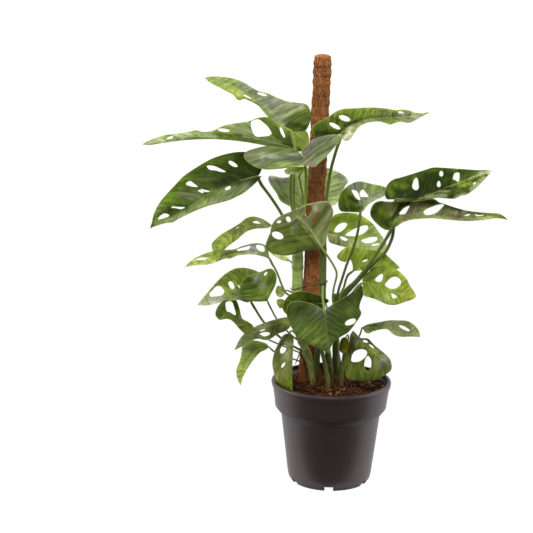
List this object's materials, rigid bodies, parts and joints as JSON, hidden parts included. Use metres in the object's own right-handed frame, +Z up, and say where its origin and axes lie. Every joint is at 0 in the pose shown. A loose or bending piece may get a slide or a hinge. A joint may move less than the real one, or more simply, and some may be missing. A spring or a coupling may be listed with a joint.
{
  "type": "potted adansons monstera",
  "caption": "Potted climbing plant with long holed leaves on thin stalks, tied to a coir pole in a tapered nursery pot full of soil.",
  "frame": {"origin": "centre of the pot's base, on the surface it stands on", "axes": "+Z up along the pot's axis, -Y towards the plant's front, +X to the right as seen from the front"},
  "size_m": [0.5004, 0.1755, 0.6088],
  "materials": {
    "pot": "satin",
    "soil": "matte",
    "coir": "matte",
    "stake": "matte",
    "wire": "satin",
    "stem": "satin",
    "root": "matte",
    "leaf": "satin",
    "leaf_dark": "satin",
    "leaf_lime": "satin",
    "leaf_pale": "satin"
  },
  "bodies": {
    "root": {"pot": "pot", "soil": "soil", "pole_coir": "coir", "pole_stake": "stake", "tie_wire": "wire", "stem_left": "stem", "stem_right": "stem", "stem_front": "stem", "stem_mid": "stem", "stem_back": "stem", "stem_low": "stem", "root_forked": "root", "root_brown": "root", "root_on_soil": "root", "leaf_top_left": "leaf", "leaf_upper_left": "leaf", "leaf_crown_front": "leaf", "leaf_under_crown": "leaf_lime", "leaf_top_right": "leaf", "leaf_left_large": "leaf_dark", "leaf_behind_pole": "leaf_pale", "leaf_centre": "leaf", "leaf_left_arched": "leaf", "leaf_left_narrow": "leaf", "leaf_mid_left": "leaf", "leaf_mid_left_front": "leaf", "leaf_curled": "leaf_dark", "leaf_draped": "leaf", "leaf_hanging": "leaf", "leaf_rim_left": "leaf", "leaf_heart_front": "leaf_dark", "leaf_dark_back": "leaf_dark", "leaf_right_low": "leaf", "leaf_rim_right": "leaf", "leaf_small_right": "leaf", "leaf_right_back": "leaf", "leaf_right_small": "leaf", "leaf_right_upper": "leaf_dark", "leaf_right_long": "leaf_dark", "leaf_lime_back": "leaf_lime", "leaf_lime_front": "leaf_lime", "leaf_bud_left": "leaf_lime", "leaf_bud_left_low": "leaf_pale", "leaf_pale_strip": "leaf_pale"}
  },
  "joints": []
}
